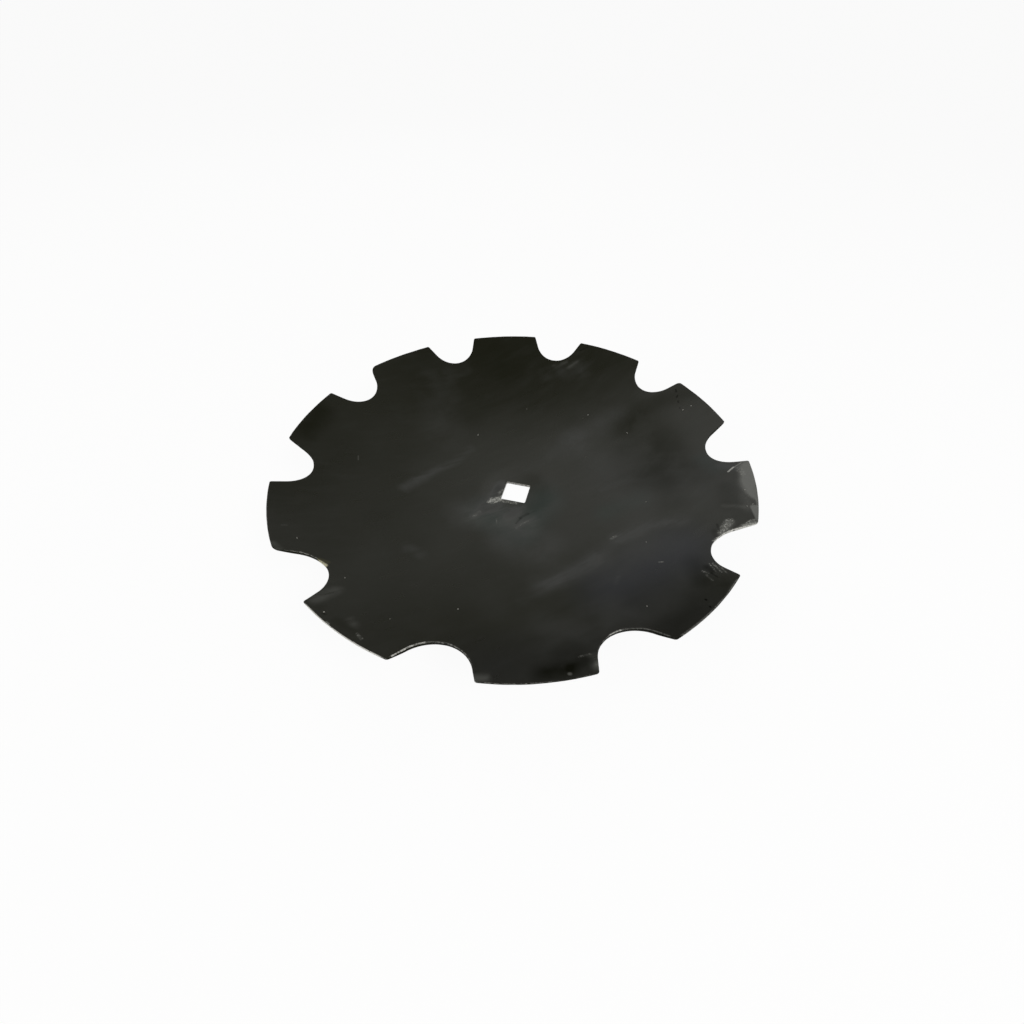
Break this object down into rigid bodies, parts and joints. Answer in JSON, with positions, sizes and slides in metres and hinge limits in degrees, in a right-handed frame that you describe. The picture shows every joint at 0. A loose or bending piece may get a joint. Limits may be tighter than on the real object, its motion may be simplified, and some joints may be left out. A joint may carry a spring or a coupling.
{
  "type": "harrow disc blade",
  "caption": "Dished steel disc blade for a harrow gang, with scalloped notches in its rim, a ground cutting edge and a square axle hole in a flat centre.",
  "frame": {"origin": "middle of the flat underside, on the axle's line, where the blade rests and a spool bears", "axes": "+Z along the axle towards the hollow side, +X through the middle of a tooth, +Y through the middle of a notch"},
  "size_m": [0.56, 0.5544, 0.08],
  "materials": {
    "blade_paint": "thin satin black paint on hardened steel, smoky and scuffed, worn light at the edges"
  },
  "bodies": {
    "root": {"disc_blade": "blade_paint"}
  },
  "joints": []
}
